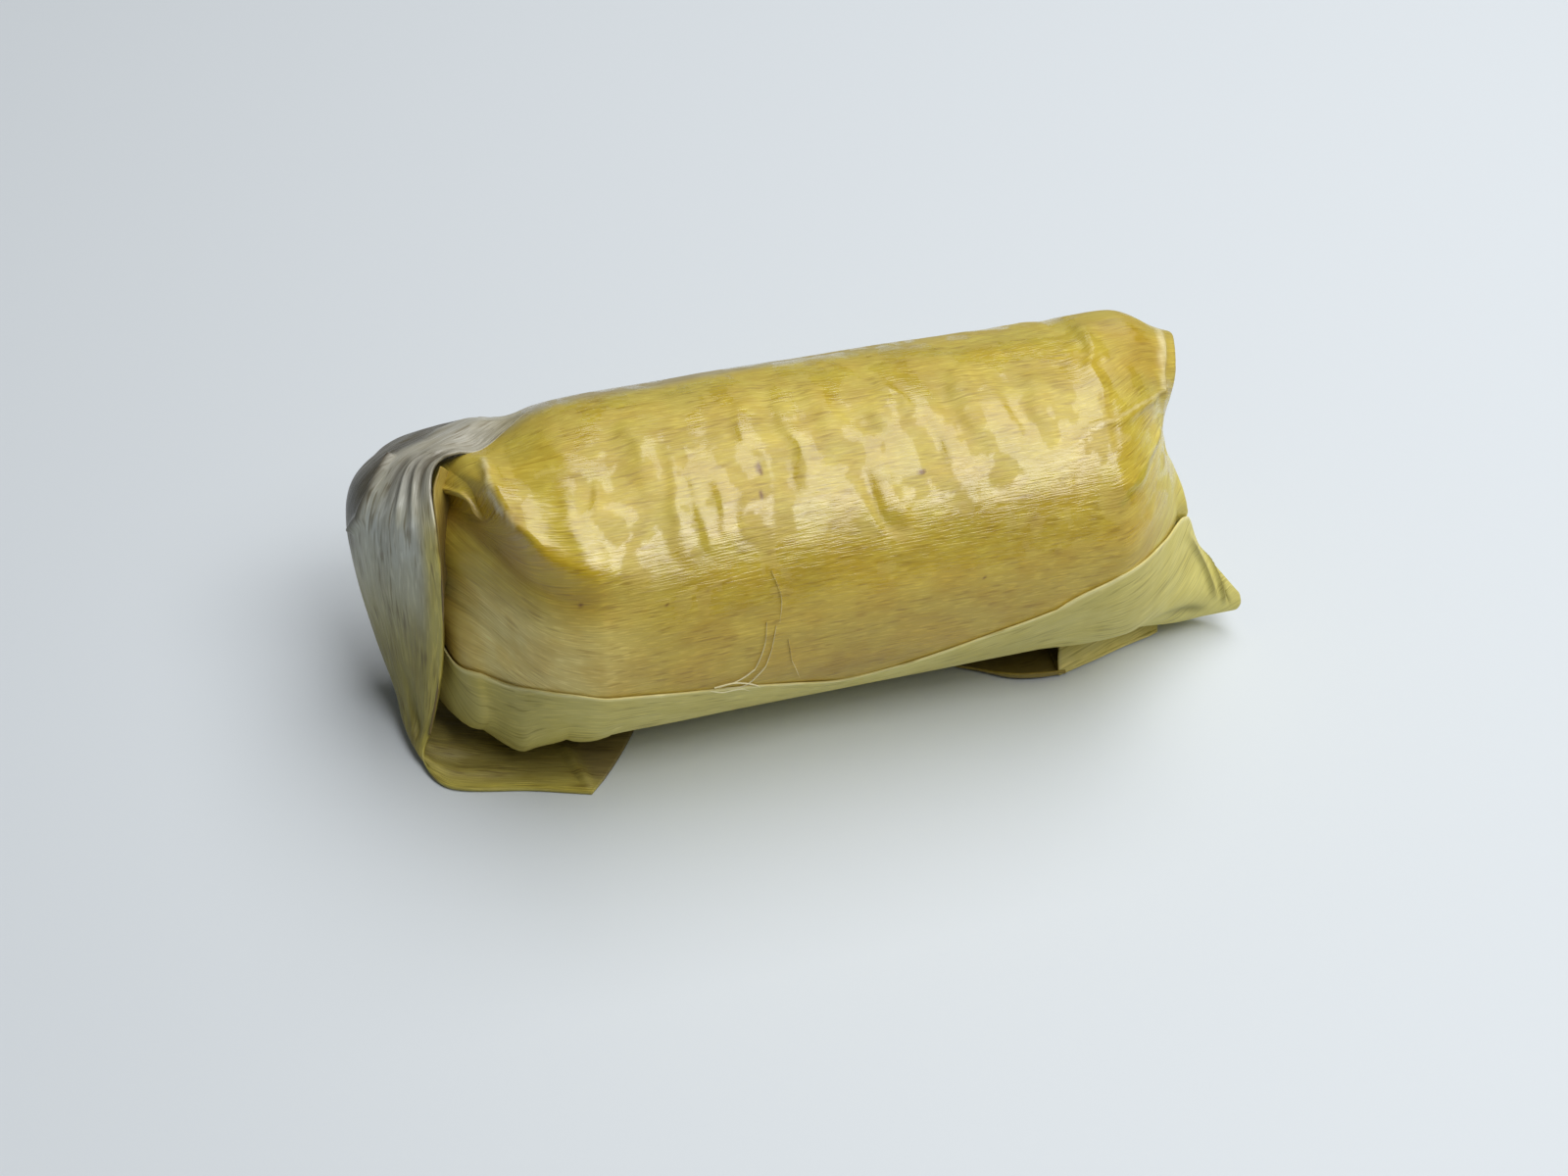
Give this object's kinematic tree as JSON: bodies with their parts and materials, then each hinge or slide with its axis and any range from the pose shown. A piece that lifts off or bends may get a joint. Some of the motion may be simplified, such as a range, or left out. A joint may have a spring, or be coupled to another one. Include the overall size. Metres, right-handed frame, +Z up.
{
  "type": "leaf-wrapped rice roll",
  "caption": "Arem-arem: a steamed rice roll wrapped in glossy golden-olive banana leaf, with folded leaf ends, a tail and tongues tucked underneath.",
  "frame": {"origin": "centre of the whole's footprint box, on the surface the roll lies on", "axes": "+X along the roll towards the end with the ear and the tail, -Y towards the shown side with the hem, +Z up"},
  "size_m": [0.1224, 0.0482, 0.0437],
  "materials": {
    "golden_leaf": "wet and glossy, with fine fibres along the roll",
    "pale_leaf": "satin, pale olive, with dark streaks along the fibres",
    "grey_leaf": "waxy grey brown above, olive below",
    "olive_leaf": "satin, pale olive brown"
  },
  "bodies": {
    "root": {"wrapped_roll": "golden_leaf", "leaf_band": "pale_leaf", "left_fold": "grey_leaf", "right_fold": "olive_leaf"}
  },
  "joints": []
}
